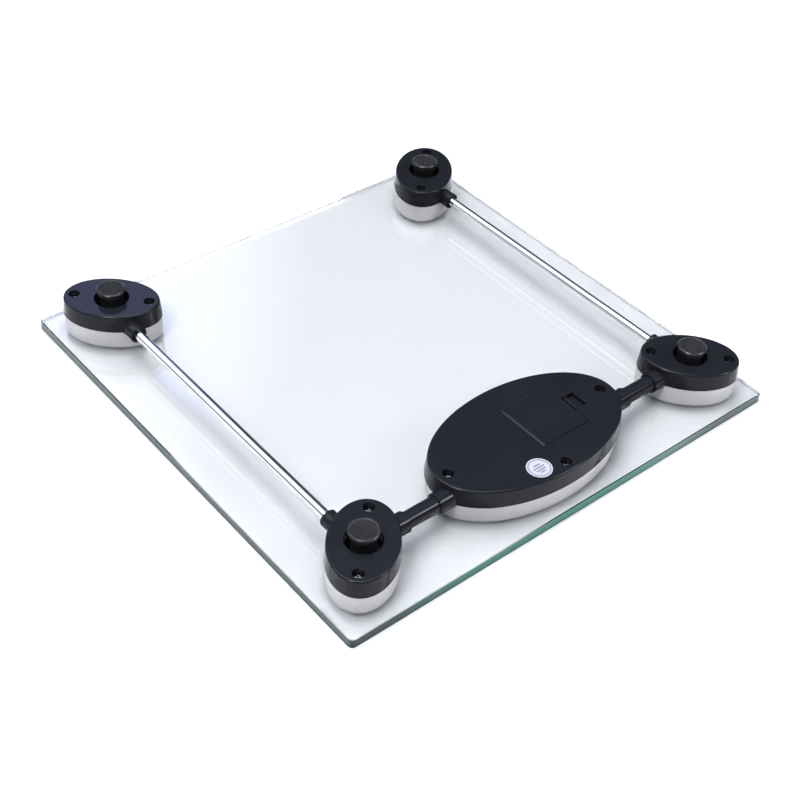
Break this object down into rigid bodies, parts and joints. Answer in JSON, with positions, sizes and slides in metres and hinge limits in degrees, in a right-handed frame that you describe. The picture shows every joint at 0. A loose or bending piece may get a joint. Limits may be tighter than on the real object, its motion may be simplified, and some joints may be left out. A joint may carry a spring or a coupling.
{
  "type": "body weighing scale",
  "caption": "Square clear-glass digital body scale, feet up: four oval foot pods with load cells, an oval display housing with a hinged battery door, and joining tubes.",
  "frame": {"origin": "centre of the weighing face, the glass plate's outer face, on which the scale lies", "axes": "+Z out of the underside, the way the feet point; -Y towards the edge with the display housing; +X along that edge. In use the scale is turned over, so -Z is then up."},
  "size_m": [0.3, 0.3, 0.0352],
  "materials": {
    "platform_glass": "clear tempered float glass with a green edge",
    "clear_bond": "thin translucent bonding layer",
    "white_plastic": "satin moulded ABS, off-white",
    "black_plastic": "semi-gloss moulded ABS, near black",
    "plated_steel": "stamped and nickel plated",
    "gauge_seal": "white silicone seal",
    "foot_plastic": "moulded, black",
    "foot_rubber": "non-slip rubber with a knurled face",
    "screw_steel": "zinc plated",
    "chrome_plate": "polished",
    "wire_jacket": "PVC jacket",
    "label_paper": "blank coated label",
    "lcd_glass": "reflective display panel",
    "reflector": "diffusing sheet",
    "elastomer": "zebra connector",
    "board": "fibreglass with solder mask",
    "epoxy": "cured resin",
    "components": "surface-mount parts",
    "cell_steel": "stainless steel can"
  },
  "bodies": {
    "scale": {"glass_platform": "platform_glass", "bond_pad_front_left": "clear_bond", "pod_base_front_left": "white_plastic", "pod_cover_front_left": "black_plastic", "load_cell_front_left": "plated_steel", "strain_gauge_front_left": "gauge_seal", "pod_screws_front_left": "screw_steel", "bond_pad_front_right": "clear_bond", "pod_base_front_right": "white_plastic", "pod_cover_front_right": "black_plastic", "load_cell_front_right": "plated_steel", "strain_gauge_front_right": "gauge_seal", "pod_screws_front_right": "screw_steel", "bond_pad_rear_left": "clear_bond", "pod_base_rear_left": "white_plastic", "pod_cover_rear_left": "black_plastic", "load_cell_rear_left": "plated_steel", "strain_gauge_rear_left": "gauge_seal", "pod_screws_rear_left": "screw_steel", "bond_pad_rear_right": "clear_bond", "pod_base_rear_right": "white_plastic", "pod_cover_rear_right": "black_plastic", "load_cell_rear_right": "plated_steel", "strain_gauge_rear_right": "gauge_seal", "pod_screws_rear_right": "screw_steel", "chrome_tube_left": "chrome_plate", "connector_tube_left": "black_plastic", "rear_sensor_wires_left": "wire_jacket", "front_sensor_wires_left": "wire_jacket", "chrome_tube_right": "chrome_plate", "connector_tube_right": "black_plastic", "rear_sensor_wires_right": "wire_jacket", "front_sensor_wires_right": "wire_jacket", "display_bond_pad": "clear_bond", "display_base": "white_plastic", "display_cover": "black_plastic", "display_screws": "screw_steel", "inspection_label": "label_paper", "lcd_panel": "lcd_glass", "lcd_frame": "white_plastic", "lcd_reflector": "reflector", "zebra_strips": "elastomer", "circuit_board": "board", "board_screws": "screw_steel", "controller_blob": "epoxy", "board_components": "components", "coin_cell": "cell_steel", "battery_contact_negative": "plated_steel", "battery_contact_positive": "plated_steel"},
    "foot_front_left": {"foot_carrier_front_left": "foot_plastic", "foot_pad_front_left": "foot_rubber"},
    "foot_front_right": {"foot_carrier_front_right": "foot_plastic", "foot_pad_front_right": "foot_rubber"},
    "foot_rear_left": {"foot_carrier_rear_left": "foot_plastic", "foot_pad_rear_left": "foot_rubber"},
    "foot_rear_right": {"foot_carrier_rear_right": "foot_plastic", "foot_pad_rear_right": "foot_rubber"},
    "battery_door": {"battery_door": "black_plastic"},
    "door_latch": {"door_latch": "black_plastic"}
  },
  "joints": [
    {"name": "foot_flex_front_left", "type": "slide", "parent": "scale", "child": "foot_front_left", "axis": [0, 0, 1], "range_m": [-0.0008, 0], "stiffness_N_per_m": 600, "springref_m": 0.0003},
    {"name": "foot_flex_front_right", "type": "slide", "parent": "scale", "child": "foot_front_right", "axis": [0, 0, 1], "range_m": [-0.0008, 0], "stiffness_N_per_m": 600, "springref_m": 0.0003},
    {"name": "foot_flex_rear_left", "type": "slide", "parent": "scale", "child": "foot_rear_left", "axis": [0, 0, 1], "range_m": [-0.0008, 0], "stiffness_N_per_m": 600, "springref_m": 0.0003},
    {"name": "foot_flex_rear_right", "type": "slide", "parent": "scale", "child": "foot_rear_right", "axis": [0, 0, 1], "range_m": [-0.0008, 0], "stiffness_N_per_m": 600, "springref_m": 0.0003},
    {"name": "battery_door_hinge", "type": "hinge", "parent": "scale", "child": "battery_door", "pos_m": [-0.00005, -0.1055, 0.0258], "axis": [0, -1, 0], "range_deg": [0, 80]},
    {"name": "door_latch_flex", "type": "slide", "parent": "battery_door", "child": "door_latch", "axis": [1, 0, 0], "range_m": [-0.0012, 0], "stiffness_N_per_m": 30}
  ]
}
